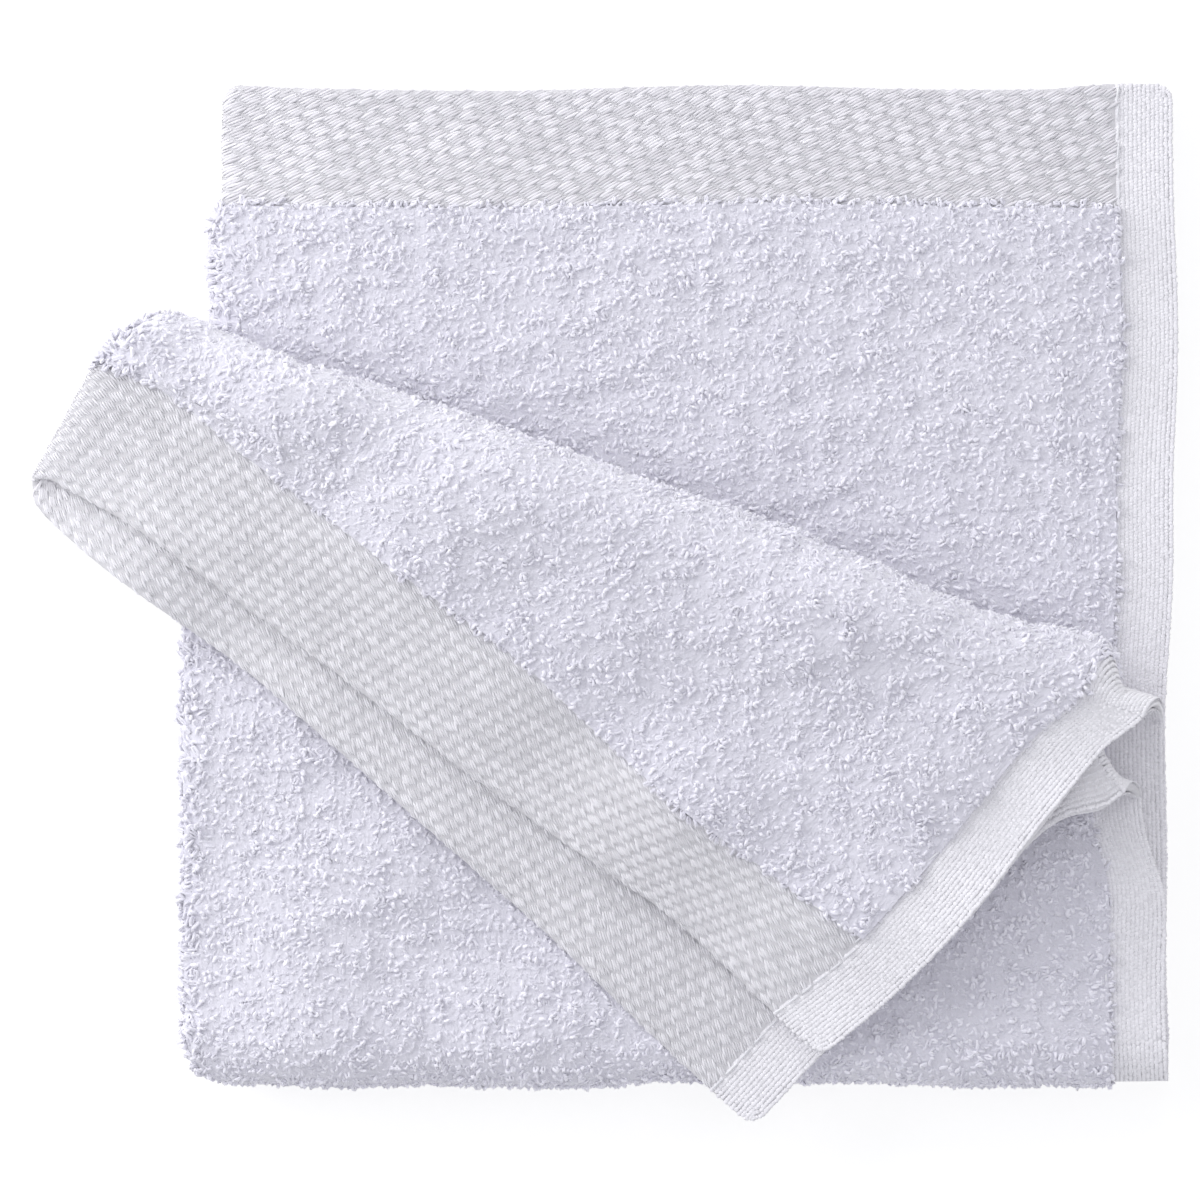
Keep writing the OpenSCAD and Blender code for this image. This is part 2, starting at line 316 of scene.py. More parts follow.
def in_flap(e, w, height):
    """From along the crease, away from it (w is below 0), height over the crease's middle."""
    if height == OUTER_ROLL:
        e = e + hem_sway(e, w)
    w = w + bow(e, w, height)
    s = np.clip(-w, 0, None)
    fade = 1 - smooth(s / FADE)
    pinch = 1 - (1 - hem_pinch(e)) * fade
    v = w * math.cos(FLAP_SLOPE) - height * math.sin(FLAP_SLOPE) * pinch
    h = w * math.sin(FLAP_SLOPE) + height * math.cos(FLAP_SLOPE)
    v = v + RIDGE_KEPT * ridge(e) * fade
    v = v - pull(e, height) * fade
    h = h - SETTLE * (1 - fade) - droop(e, s, height) - tip(e, w, height) + curl(e, w)
    return from_crease(e, v, h)


def in_roll(e, turn, radius):
    """From along the crease and round the roll, from the leaf up to the flap."""
    share = turn / ROLL_TURN
    past_top = RIDGE_KEPT + (1 - RIDGE_KEPT) * np.sin(turn)
    bulge = np.where(turn < math.pi / 2, np.sin(turn), past_top)
    v = radius * np.sin(turn) * hem_pinch(e) + bulge * ridge(e) - pull(e, radius)
    h = -radius * np.cos(turn) - droop(e, 0, radius) * smooth(share)
    return from_crease(e, v, h)


def inset(a, b, distance):
    """The line from a to b, moved to its left."""
    d = unit(b - a)
    side = np.array([-d[1], d[0]]) * distance
    return a + side, b + side


def meet(m, n):
    """Where two lines cross, each given by two points."""
    u, v = m[1] - m[0], n[1] - n[0]
    w = n[0] - m[0]
    return m[0] + u * (w[0] * v[1] - w[1] * v[0]) / (u[0] * v[1] - u[1] * v[0])


CREASE_LINE = (np.array([-1.0, 0]), np.array([1.0, 0]))


def quad(low, high, left, right):
    """Where four lines cross: lower left, lower right, upper left and upper right."""
    return [meet(low, left), meet(low, right), meet(high, left), meet(high, right)]


def terry_quad(corners, hem):
    """The flap's terry, between its band and the crease, its fold and its side hem."""
    a, b, c, d = corners
    return quad(inset(b, c, BAND_WIDTH), CREASE_LINE, inset(a, b, FOLD_INSET), inset(c, d, hem))


def band_quad(corners, hem):
    a, b, c, d = corners
    return quad((b, c), inset(b, c, BAND_WIDTH), inset(a, b, FOLD_INSET), inset(c, d, hem))


def hem_quad(corners, hem):
    _, b, c, d = corners
    return quad((b, c), CREASE_LINE, inset(c, d, hem), (c, d))


# ---------------- patches


class Patch:
    """A smooth piece of the cloth's middle. outside is roughly where its pile face looks."""

    def __init__(self, points, outside, corner=None, even=False):
        self.points = points
        self.sign = 1
        self.corner = None
        self.free_end = None
        self.even = None
        if even:
            share = np.linspace(0, 1, 200)
            ends = points(share, np.full(200, 0.5))
            run = np.cumsum(np.r_[0, np.linalg.norm(np.diff(ends, axis=0), axis=1)])
            self.even = (run / run[-1], share)
        middle = np.array([0.5])
        if (self.frame(middle, middle)[1][0] @ outside) < 0:
            self.sign = -1
        line = np.linspace(0, 1, 40)
        half = np.full(40, 0.5)
        self.width = self.run(self.at(line, half))
        self.length = self.run(self.at(half, line))
        self.corner = corner

    @staticmethod
    def run(points):
        return float(np.linalg.norm(np.diff(points, axis=0), axis=1).sum())

    def at(self, p, q):
        if self.even is not None:
            p = np.interp(p, *self.even)
        if self.corner is not None:
            p, q = self.rounded(p, q)
        return soften(self.points(p, q))

    def rounded(self, p, q):
        """Moves the shares near one free corner in, so that the corner is round."""
        end_p, end_q = self.corner
        a = CORNER_RADIUS - abs(end_p - p) * self.width
        b = CORNER_RADIUS - abs(end_q - q) * self.length
        near = (a > 1e-6) & (b > 1e-6)
        shrink = np.where(near, np.maximum(a, b) / np.maximum(np.hypot(a, b), 1e-9), 1.0)
        step_p, step_q = (1 - 2 * end_p) / self.width, (1 - 2 * end_q) / self.length
        return (
            np.where(near, end_p + (CORNER_RADIUS - a * shrink) * step_p, p),
            np.where(near, end_q + (CORNER_RADIUS - b * shrink) * step_q, q),
        )

    def frame(self, p, q):
        """Middle of the cloth, its outward direction, and its two slopes."""
        d = 1e-3
        along = (self.at(p + d, q) - self.at(p - d, q)) / (2 * d)
        up = (self.at(p, q + d) - self.at(p, q - d)) / (2 * d)
        return self.at(p, q), unit(np.cross(along, up)) * self.sign, along, up


class Joined:
    """A fold and the upper or lower layer on its right as one patch, in that layer's shares."""

    def __init__(self, fold, layer, upper=True):
        self.fold, self.cloth, self.upper = fold, layer, upper
        self.width, self.length = layer.width, layer.length
        self.free_end = layer.free_end

    def frame(self, p, q):
        over = p * self.width / self.fold.width
        left = self.fold.frame(1 + over if self.upper else -over, q)
        right = self.cloth.frame(p, q)
        return tuple(np.where((p < 0)[:, None], a, b) for a, b in zip(left, right))


def turned(start, start_out, end, end_out, reach, share):
    """A smooth turn from one edge round to another, reaching so far beyond them."""
    t, pull_out = share[:, None], (reach * 4 / 3)[:, None]
    a, b = start + start_out * pull_out, end + end_out * pull_out
    return (
        start * (1 - t) ** 3 + 3 * a * t * (1 - t) ** 2 + 3 * b * t**2 * (1 - t) + end * t**3
    )


def thin(y, z):
    """The bands are thinner than the terry, so the back leaf's end lies lower."""
    return z - (0.35 * z - 0.11) * np.clip((y - BAND_Y + 3) / (BAND_WIDTH + 3), 0, 1)


def end_rise(x, y):
    """The back leaf's end reaches a little further up at its two corners."""
    corners = smooth((-45 - x) / 25) + 0.9 * smooth((x - 65) / 15)
    return 1.2 * corners * np.clip((y - BAND_Y) / BAND_WIDTH, 0, 1)


def leaf(x0, x1, y0, y1, z, outside, corner=None):
    """A flat layer. y1 is a number or a function of x."""

    def points(p, q):
        x = between(x0, x1, p)
        top = y1(x) if callable(y1) else y1
        y = between(y0, top, q)
        if z == LAYERS[3]:
            v = y * COS + x * SIN - CREASE_OFFSET
            slip = pull(x * COS - y * SIN, INNER_ROLL) * (1 - smooth(-v / FADE))
            x, y = x - slip * SIN, y - slip * COS
        if z > LAYERS[1]:
            return np.column_stack([x, y, np.full_like(x, z)])
        x = x + smooth((x - 40) / 40) * smooth((y + 20) / 30)
        return np.column_stack([x, y + end_rise(x, y), thin(y, z)])

    return Patch(points, outside, corner)


def left_fold(x, y0, y1, z, full=0.0):
    """Two layers closed on their left, from the lower layer to the upper one.

    full is how far the fold bulges beside the thin band, over its last 3 mm.
    """

    def points(p, q):
        turn = math.pi * (p - 0.5)
        top = y1(np.full_like(p, x)) if callable(y1) else y1
        y = between(y0, top, q)
        px = x - (FOLD + full * smooth((top - y) / 3)) * np.cos(turn)
        height = z + FOLD * np.sin(turn)
        if z > LAYERS[1]:
            return np.column_stack([px, y, height])
        round_end = np.cos(turn) ** 2 * np.clip((y - BAND_Y) / BAND_WIDTH, 0, 1) ** 6
        return np.column_stack([px, y + end_rise(px, y) - 1.2 * round_end, thin(y, height)])

    return Patch(points, WEST, even=True)


def bottom_x(back, front, turn):
    return (back + front) / 2 + (front - back) / 2 * np.sin(turn)


def bottom_turn(x, radius, turn):
    return np.column_stack(
        [x, BOTTOM_Y - radius * np.cos(turn), BOTTOM_Z + radius * np.sin(turn)]
    )


def bottom_fold(radius, x0, x1, outside):
    """The turn from the back leaf up to the front leaf. x0 and x1 are (back, front) pairs."""

    def points(p, q):
        turn = math.pi * (q - 0.5)
        x = between(bottom_x(*x0, turn), bottom_x(*x1, turn), p)
        return bottom_turn(x, radius, turn)

    return Patch(points, outside)


def bottom_corner():
    """Closes the bottom fold's two layers on their left."""
    middle = (LAYERS[3] - LAYERS[0] + LAYERS[2] - LAYERS[1]) / 4

    def points(p, q):
        turn, round_ = math.pi * (q - 0.5), math.pi * (p - 0.5)
        radius = middle - FOLD * np.sin(round_)
        x = bottom_x(BACK_X, FRONT_X, turn) - FOLD * np.cos(round_)
        return bottom_turn(x, radius, turn)

    return Patch(points, WEST)


OVER_TERRY, UNDER_TERRY = terry_quad(OVER_CORNERS, FLAP_HEM), terry_quad(UNDER_CORNERS, HEM_WIDTH)
OVER_BAND, UNDER_BAND = band_quad(OVER_CORNERS, FLAP_HEM), band_quad(UNDER_CORNERS, HEM_WIDTH)
OVER_HEM, UNDER_HEM = hem_quad(OVER_CORNERS, FLAP_HEM), hem_quad(UNDER_CORNERS, HEM_WIDTH)


def spot(corners, p, q):
    """Place along the crease and away from it, from the shares between four corners."""
    low = between(corners[0][None], corners[1][None], p[:, None])
    high = between(corners[2][None], corners[3][None], p[:, None])
    return between(low, high, q[:, None])


def flap(corners, height, outside, corner=None):
    def points(p, q):
        e, w = spot(corners, p, q).T
        return in_flap(e, w, height)

    return Patch(points, outside, corner)


def flap_fold(over, under):
    """Closes the flap's two layers on their left, from the lower layer to the upper one."""

    def edge(corners, height, p, q):
        e, w = spot(corners, np.full_like(q, p), q).T
        return in_flap(e, w, height)

    def points(p, q):
        low, top = edge(under, INNER_ROLL, 0, q), edge(over, OUTER_ROLL, 0, q)
        low_out = unit(low - edge(under, INNER_ROLL, 0.004, q))
        top_out = unit(top - edge(over, OUTER_ROLL, 0.004, q))
        return turned(low, low_out, top, top_out, np.full_like(q, OPEN_FOLD), p)

    return Patch(points, WEST + 0.2 * SOUTH, even=True)


def roll_left(share):
    """Where the rolled layers end on the left, from the leaf round to the flap."""
    start, end = leaf_to_crease(FRONT_X), OVER_TERRY[2][0]
    return between(start, end, np.clip(share, 0, 1) ** 0.6)


def roll_right(x, end):
    """Where a rolled layer ends on the right, from x on the leaf to its place on the flap."""

    def right(share):
        return between(leaf_to_crease(x), end, smooth(share))

    return right


def roll(radius, left, right, outside):
    def points(p, q):
        e = between(left(q), right(q), p)
        return in_roll(e, ROLL_TURN * q, radius)

    return Patch(points, outside)


def roll_fold():
    """Closes the roll's two layers on their left."""

    def points(p, q):
        left = roll_left(q)
        ends = []
        for radius in (OUTER_ROLL, INNER_ROLL):
            end = in_roll(left, ROLL_TURN * q, radius)
            ends += [end, unit(end - in_roll(left + 0.4, ROLL_TURN * q, radius))]
        return turned(*ends, between(FOLD, OPEN_FOLD, smooth(q)), p)

    return Patch(points, -ALONG, even=True)


ALONG = from_crease(1, 0, 0)[0] - from_crease(0, 0, 0)[0]
UPHILL = from_crease(0, 1, 0)[0] - from_crease(0, 0, 0)[0]


OVER_TERRY_RIGHT = roll_right(FRONT_HEM_X, OVER_TERRY[3][0])
UNDER_TERRY_RIGHT = roll_right(FRONT_HEM_X, UNDER_TERRY[3][0])
OVER_HEM_RIGHT = roll_right(FRONT_HEM_RIGHT, OVER_CORNERS[3][0])
UNDER_HEM_RIGHT = roll_right(FRONT_HEM_RIGHT, UNDER_CORNERS[3][0])
LEFT_ENDS, TERRY_ENDS = (BACK_X, FRONT_X), (BACK_HEM_X, FRONT_HEM_X)
HEM_ENDS = (BACK_RIGHT, FRONT_HEM_RIGHT)
OUTER_BOTTOM, INNER_BOTTOM = BOTTOM_Z - LAYERS[0], BOTTOM_Z - LAYERS[1]
BACK_MIDDLE, FRONT_MIDDLE = (LAYERS[0] + LAYERS[1]) / 2, (LAYERS[2] + LAYERS[3]) / 2

PATCH = {
    "back_under_terry": leaf(BACK_X, BACK_HEM_X, BOTTOM_Y, BAND_Y, LAYERS[0], DOWN),
    "back_over_terry": leaf(BACK_X, BACK_HEM_X, BOTTOM_Y, BAND_Y, LAYERS[1], UP),
    "back_left_fold": left_fold(BACK_X, BOTTOM_Y, BAND_Y, BACK_MIDDLE, 2.0),
    "back_under_band": leaf(BACK_X, BACK_HEM_X, BAND_Y, TOP_Y, LAYERS[0], DOWN),
    "back_over_band": leaf(BACK_X, BACK_HEM_X, BAND_Y, TOP_Y, LAYERS[1], UP),
    "back_band_left_fold": left_fold(BACK_X, BAND_Y, TOP_Y, BACK_MIDDLE),
    "back_under_side_hem": leaf(
        BACK_HEM_X, BACK_RIGHT, BOTTOM_Y, TOP_Y, LAYERS[0], DOWN, (1, 1)),
    "back_over_side_hem": leaf(
        BACK_HEM_X, BACK_RIGHT, BOTTOM_Y, TOP_Y, LAYERS[1], UP, (1, 1)),
    "bottom_outer_fold": bottom_fold(OUTER_BOTTOM, LEFT_ENDS, TERRY_ENDS, SOUTH),
    "bottom_inner_fold": bottom_fold(INNER_BOTTOM, LEFT_ENDS, TERRY_ENDS, -SOUTH),
    "bottom_outer_hem_fold": bottom_fold(OUTER_BOTTOM, TERRY_ENDS, HEM_ENDS, SOUTH),
    "bottom_inner_hem_fold": bottom_fold(INNER_BOTTOM, TERRY_ENDS, HEM_ENDS, -SOUTH),
    "bottom_left_fold": bottom_corner(),
    "front_under_terry": leaf(FRONT_X, FRONT_HEM_X, BOTTOM_Y, crease_y, LAYERS[2], DOWN),
    "front_over_terry": leaf(FRONT_X, FRONT_HEM_X, BOTTOM_Y, crease_y, LAYERS[3], UP),
    "front_left_fold": left_fold(FRONT_X, BOTTOM_Y, crease_y, FRONT_MIDDLE),
    "front_under_side_hem": leaf(
        FRONT_HEM_X, FRONT_HEM_RIGHT, BOTTOM_Y, crease_y, LAYERS[2], DOWN),
    "front_over_side_hem": leaf(
        FRONT_HEM_X, FRONT_HEM_RIGHT, BOTTOM_Y, crease_y, LAYERS[3], UP),
    "crease_outer_roll": roll(OUTER_ROLL, roll_left, OVER_TERRY_RIGHT, UPHILL),
    "crease_inner_roll": roll(INNER_ROLL, roll_left, UNDER_TERRY_RIGHT, -UPHILL),
    "crease_outer_hem_roll": roll(OUTER_ROLL, OVER_TERRY_RIGHT, OVER_HEM_RIGHT, UPHILL),
    "crease_inner_hem_roll": roll(INNER_ROLL, UNDER_TERRY_RIGHT, UNDER_HEM_RIGHT, -UPHILL),
    "crease_left_roll": roll_fold(),
    "flap_over_terry": flap(OVER_TERRY, OUTER_ROLL, UP),
    "flap_under_terry": flap(UNDER_TERRY, INNER_ROLL, DOWN),
    "flap_left_fold": flap_fold(OVER_TERRY, UNDER_TERRY),
    "flap_over_band": flap(OVER_BAND, OUTER_ROLL, UP),
    "flap_under_band": flap(UNDER_BAND, INNER_ROLL, DOWN),
    "flap_band_left_fold": flap_fold(OVER_BAND, UNDER_BAND),
    "flap_over_side_hem": flap(OVER_HEM, OUTER_ROLL, UP, (1, 0)),
    "flap_under_side_hem": flap(UNDER_HEM, INNER_ROLL, DOWN, (1, 0)),
}


# ---------------- materials


def principled(name, colour, roughness, sheen=0.25):
    material = bpy.data.materials.new(name)
    material.use_nodes = True
    shader = material.node_tree.nodes["Principled BSDF"]
    shader.inputs["Base Color"].default_value = (*colour, 1)
    shader.inputs["Roughness"].default_value = roughness
    shader.inputs["Specular IOR Level"].default_value = 0.25
    shader.inputs["Diffuse Roughness"].default_value = 1.0
    shader.inputs["Sheen Weight"].default_value = sheen
    shader.inputs["Sheen Roughness"].default_value = 0.5
    material.diffuse_color = (*colour, 1)
    return material, shader


def yarns(name, sheen, *tones):
    """Materials of one yarn, bright first, from pairs of a colour and a roughness."""
    words = (", bright", "", ", shaded")[-len(tones):]
    return [
        principled(name + word, colour, roughness, sheen)[0]
        for word, (colour, roughness) in zip(words, tones)
    ]


def cloth_uv(tree):
    """The place in the cloth, in millimetres."""
    node = tree.nodes.new("ShaderNodeUVMap")
    node.uv_map = "cloth"
    return node.outputs["UV"]


def cotton(material, shader, light, dark, mix, height, strength, depth):
    """Colours a material from dark to light by mix, and roughens it by height. Where mix follows
    height, the low parts get the dark colour as painted shade.
    """
    tree = material.node_tree
    tone = tree.nodes.new("ShaderNodeMix")
    tone.data_type = "RGBA"
    tone.inputs["A"].default_value = (*dark, 1)
    tone.inputs["B"].default_value = (*light, 1)
    tree.links.new(mix, tone.inputs["Factor"])
    tree.links.new(tone.outputs["Result"], shader.inputs["Base Color"])
    relief = tree.nodes.new("ShaderNodeBump")
    relief.inputs["Strength"].default_value = strength
    relief.inputs["Distance"].default_value = depth * MM
    tree.links.new(height, relief.inputs["Height"])
    tree.links.new(relief.outputs["Normal"], shader.inputs["Normal"])
    return material


def woven(name, light, dark, across, along, strength):
    """Plain weave, darker in its grooves as painted shade. across and along scale its two sets of
    fine yarns.
    """
    material, shader = principled(name, light, 0.9)
    tree = material.node_tree
    uv = cloth_uv(tree)
    heights = []
    for direction, rate in (("X", across), ("Y", along)):
        wave = tree.nodes.new("ShaderNodeTexWave")
        wave.bands_direction = direction
        wave.inputs["Scale"].default_value = rate
        wave.inputs["Distortion"].default_value = 1.2
        wave.inputs["Detail"].default_value = 2
        tree.links.new(uv, wave.inputs["Vector"])
        heights.append(wave.outputs["Fac"])
    cross = tree.nodes.new("ShaderNodeMath")
    cross.operation = "MAXIMUM"
    for socket, height in zip(cross.inputs, heights):
        tree.links.new(height, socket)
    cloud = tree.nodes.new("ShaderNodeTexNoise")
    cloud.inputs["Scale"].default_value = 0.35
    cloud.inputs["Detail"].default_value = 4
    tree.links.new(uv, cloud.inputs["Vector"])
    # The colour follows the weave's height, so the grooves between yarns are painted shade; the
    # cloud adds random tone
    groove_shade_and_tone = tree.nodes.new("ShaderNodeMath")
    groove_shade_and_tone.operation = "MULTIPLY_ADD"
    groove_shade_and_tone.inputs[1].default_value = 0.6
    tree.links.new(cross.outputs[0], groove_shade_and_tone.inputs[0])
    tree.links.new(cloud.outputs["Fac"], groove_shade_and_tone.inputs[2])
    return cotton(material, shader, light, dark, groove_shade_and_tone.outputs[0], cross.outputs[0], strength, 0.15)


def fluffy(name, light, dark):
    """The mass of yarn between the pile loops. It is coloured darker than the loops as painted
    shade deep in the pile, and darker still in its bumps' hollows as painted shade.
    """
    material, shader = principled(name, light, 0.95)
    tree = material.node_tree
    noise = tree.nodes.new("ShaderNodeTexNoise")
    noise.inputs["Scale"].default_value = 1.3
    noise.inputs["Detail"].default_value = 3
    tree.links.new(cloth_uv(tree), noise.inputs["Vector"])
    puffs_and_painted_shade = noise.outputs["Fac"]
    # The same noise gives the bumps and the colour: their hollows are darker as painted shade
    return cotton(material, shader, light, dark, puffs_and_painted_shade, puffs_and_painted_shade, 0.7, 0.9)


# The bright pile tone is a painted highlight on the loops that stand highest and most upright; the
# other two tones vary at random
PILE_TONES_AND_HIGHLIGHT = yarns(
    "pile yarn", 0.4,
    ((0.93, 0.92, 0.975), 0.8), ((0.86, 0.85, 0.91), 0.85), ((0.83, 0.82, 0.88), 0.9))
BAND_TONES = yarns(
    "band float", 0.2,
    ((0.88, 0.87, 0.90), 0.6), ((0.80, 0.79, 0.82), 0.65), ((0.75, 0.74, 0.77), 0.7))
HEM_TONES = yarns(
    "hem yarn", 0.2,
    ((0.90, 0.89, 0.92), 0.7), ((0.88, 0.87, 0.90), 0.7), ((0.85, 0.84, 0.87), 0.7))
THREAD_TONES = yarns("sewing thread", 0.2, ((0.90, 0.90, 0.92), 0.5), ((0.84, 0.84, 0.87), 0.5))
# The bed is darker than the pile yarns: painted shade deep in the pile
SHADED_PILE_BED = fluffy("pile bed", (0.83, 0.82, 0.88), (0.77, 0.76, 0.82))
# The band and hem grounds are darker in their weave's grooves: painted shade
BAND_CLOTH = woven("band ground weave", (0.80, 0.79, 0.82), (0.70, 0.69, 0.72), 3.0, 4.0, 0.6)
HEM_CLOTH = woven("hem ground weave", (0.92, 0.91, 0.94), (0.84, 0.83, 0.86), 2.5, 4.5, 0.6)


# ---------------- mesh building

BODY_OF = {
    "back": ("back_leaf",), "front": ("front_leaf",), "flap": ("corner_flap",),
    "bottom": ("back_leaf", "front_leaf"), "crease": ("front_leaf", "corner_flap"),
}


def place(obj, region):
    """Lets a piece move with its part of the towel; a piece between two parts is fixed where it
    lies.
    """
    bodies = BODY_OF[region]
    if len(bodies) == 1:
        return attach(obj, bodies[0])
    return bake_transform(obj)


def mesh_object(name, points, faces, materials, tones=None, uv=None):
    """A mesh object from points in millimetres and four-sided faces."""
    mesh = bpy.data.meshes.new(name)
    mesh.vertices.add(len(points))
    mesh.vertices.foreach_set("co", (points * MM).astype(np.float32).ravel())
    mesh.loops.add(faces.size)
    mesh.loops.foreach_set("vertex_index", faces.astype(np.int32).ravel())
    mesh.polygons.add(len(faces))
    mesh.polygons.foreach_set("loop_start", np.arange(0, faces.size, 4, dtype=np.int32))
    if tones is not None:
        mesh.polygons.foreach_set("material_index", tones.astype(np.int32))
    mesh.polygons.foreach_set("use_smooth", np.full(len(faces), True))
    for material in materials:
        mesh.materials.append(material)
    mesh.update(calc_edges=True)
    if uv is not None:
        layer = mesh.uv_layers.new(name="cloth")
        layer.data.foreach_set("uv", uv[faces.ravel()].astype(np.float32).ravel())
        mesh.set_sharp_from_angle(angle=math.radians(60))
    obj = bpy.data.objects.new(name, mesh)
    bpy.context.scene.collection.objects.link(obj)
    return obj


def lines(length, step, free_start, free_end):
    """Shares along one side of a slab, and how full its thickness is at each."""
    count = max(2, int(round(length / step)))
    share = np.linspace(0, 1, count + 1)
    full = np.ones(count + 1)
    steps = np.array([0, 0.1, 0.4, 1.0])
    round_ = np.sqrt(np.maximum(1 - (1 - steps) ** 2, 0.06))
    near = steps * EDGE_RUN / length
    if free_start:
        share = np.concatenate([near, share[share > near[-1] * 1.2]])
        full = np.concatenate([round_, np.ones(len(share) - len(steps))])
    if free_end:
        inner = share < 1 - near[-1] * 1.2
        share = np.concatenate([share[inner], 1 - near[::-1]])
        full = np.concatenate([full[inner], round_[::-1]])
    return share, full


def slab(patch, low, high, step=2.0, free=(), rows=None, seat=None, relief=0.0):
    """A closed piece of cloth about a patch, from low to high towards the outside."""
    seat = (high + low) / 2 if seat is None else seat
    u, fu = lines(patch.width, step, "left" in free, "right" in free)
    v, fv = rows or lines(patch.length, step, "start" in free, "end" in free)
    p, q = grid(u, v)
    full = np.outer(fu, fv).ravel()[:, None]
    middle, out, _, _ = patch.frame(p, q)
    puff = relief * PUFF(middle[:, 0], middle[:, 1])[:, None]
    top = middle + out * (seat + (high - seat) * full + puff)
    points = np.concatenate([top, middle + out * (seat + (low - seat) * full - puff)])
    points[:, 2] = np.maximum(points[:, 2], LOWEST)
    n, m = len(u), len(v)
    index = np.arange(n * m).reshape(n, m)
    a, b = index[:-1, :-1].ravel(), index[1:, :-1].ravel()
    c, d = index[1:, 1:].ravel(), index[:-1, 1:].ravel()
    lower = n * m
    top_faces = np.column_stack([a, b, c, d])
    low_faces = np.column_stack([a, d, c, b]) + lower
    rim = np.concatenate([index[:-1, 0], index[-1, :-1], index[:0:-1, -1], index[0, :0:-1]])
    after = np.roll(rim, -1)
    walls = np.column_stack([rim, rim + lower, after + lower, after])
    faces = np.concatenate([top_faces, low_faces, walls])
    if patch.sign < 0:
        faces = faces[:, ::-1]
    uv = np.column_stack([p * patch.width, q * patch.length])
    return points, faces, np.concatenate([uv, uv])


def tubes(centres, side_a, side_b, radius, sides):
    """Points and faces of many short yarns. centres, side_a and side_b are (yarn, ring, 3)."""
    count, rings, _ = centres.shape
    angle = np.linspace(0, 2 * math.pi, sides, endpoint=False)
    ring = (
        side_a[:, :, None] * np.cos(angle)[None, None, :, None]
        + side_b[:, :, None] * np.sin(angle)[None, None, :, None]
    )
    points = (centres[:, :, None] + ring * radius[..., None, None]).reshape(-1, 3)
    k, s = np.meshgrid(np.arange(rings - 1), np.arange(sides), indexing="ij")
    one = np.stack(
        [
            k * sides + s, k * sides + (s + 1) % sides,
            (k + 1) * sides + (s + 1) % sides, (k + 1) * sides + s,
        ],
        -1,
    ).reshape(-1, 4)
    faces = (one[None] + (np.arange(count) * rings * sides)[:, None, None]).reshape(-1, 4)
    return points, faces


LOOP_RINGS, LOOP_SIDES = 6, 4
LOOP_JITTER = 0.36
# The bright loops are raised and stand more upright, and their lighter colour is a painted
# highlight on the pile's tops
LOOP_TONES = [0.22, 0.40, 0.38]  # shares of bright, plain and shaded loops
LOOP_LEAN = [16, 32, 32]  # degrees added to the random lean of each tone
YARN_TONES = [0.35, 0.45, 0.2]


def loops_on(patch, spacing, seed, tall=(0.85, 1.3), yarn=0.22, region=None,
             window=(0, 1, 0, 1)):
    """Pile loops standing on a patch, spaced evenly over its surface."""
    rng = np.random.default_rng(seed)
    p0, p1, q0, q1 = window
    line = (np.arange(14) + 0.5) / 14
    p, q = grid(line, line)
    _, _, along, up = patch.frame(between(p0, p1, p), between(q0, q1, q))
    most = np.linalg.norm(np.cross(along, up), axis=1).max()
    wide, high = (np.linalg.norm(d, axis=1).mean() for d in (along, up))
    grow = math.sqrt(most / (wide * high)) / spacing
    nu = max(1, int(round(wide * (p1 - p0) * grow)))
    nv = max(1, int(round(high * (q1 - q0) * grow)))
    i, j = grid(np.arange(nu), np.arange(nv))
    p = between(p0, p1, (i + 0.5 + rng.uniform(-LOOP_JITTER, LOOP_JITTER, i.size)) / nu)
    q = between(q0, q1, (j + 0.5 + rng.uniform(-LOOP_JITTER, LOOP_JITTER, i.size)) / nv)
    middle, out, along, up = patch.frame(p, q)
    keep = rng.random(p.size) < np.linalg.norm(np.cross(along, up), axis=1) / most
    if region is not None:
        keep &= region(middle)
    middle, out, along = middle[keep], out[keep], unit(along[keep])
    count = len(middle)
    across = np.cross(out, along)
    x, y = middle[:, 0], middle[:, 1]
    heading = 3.0 * COMB(x, y) + rng.normal(0, 1.0, count)
    tone = rng.choice(3, count, p=LOOP_TONES)
    lean = np.radians(rng.uniform(15, 45, count) + np.take(LOOP_LEAN, tone))
    sideways = along * np.cos(heading)[:, None] + across * np.sin(heading)[:, None]
    rise = out * np.cos(lean)[:, None] + sideways * np.sin(lean)[:, None]
    spin = unit(rng.normal(size=(count, 3)))
    wide = unit(np.cross(rise, spin))
    flat = np.cross(rise, wide)
    size = between(tall[0], tall[1], rng.random(count)) * (1 + 0.12 * THICK(x, y))
    width = rng.uniform(0.13, 0.27, count)
    turn = np.linspace(0.03, 0.97, LOOP_RINGS) * 2 * math.pi
    lift = (1 - np.cos(turn))[None] / 2 * size[:, None]
    swing = np.sin(turn)[None] * width[:, None]
    twist = 0.22 * np.sin(turn + rng.uniform(0, 6, count)[:, None])
    # Painted highlight: the bright loops sit a little higher and are thicker, and their lighter
    # yarn stands for the light on the pile's tops
    bright = tone == 0
    base = middle + out * (BED - 0.5 + 0.07 * bright + 0.2 * PUFF(x, y))[:, None]
    centres = (
        base[:, None]
        + rise[:, None] * lift[..., None]
        + wide[:, None] * swing[..., None]
        + flat[:, None] * twist[..., None]
    )
    tangent = unit(np.gradient(centres, axis=1))
    side_a = unit(flat[:, None] - tangent * (flat[:, None] * tangent).sum(-1, keepdims=True))
    side_b = np.cross(tangent, side_a)
    thick = yarn * (rng.uniform(0.85, 1.2, count) + 0.15 * bright)[:, None] * np.ones(LOOP_RINGS)
    points, faces = tubes(centres, side_a, side_b, thick, LOOP_SIDES)
    points[:, 2] = np.maximum(points[:, 2], LOWEST)
    return points, faces, np.repeat(tone, (LOOP_RINGS - 1) * LOOP_SIDES)


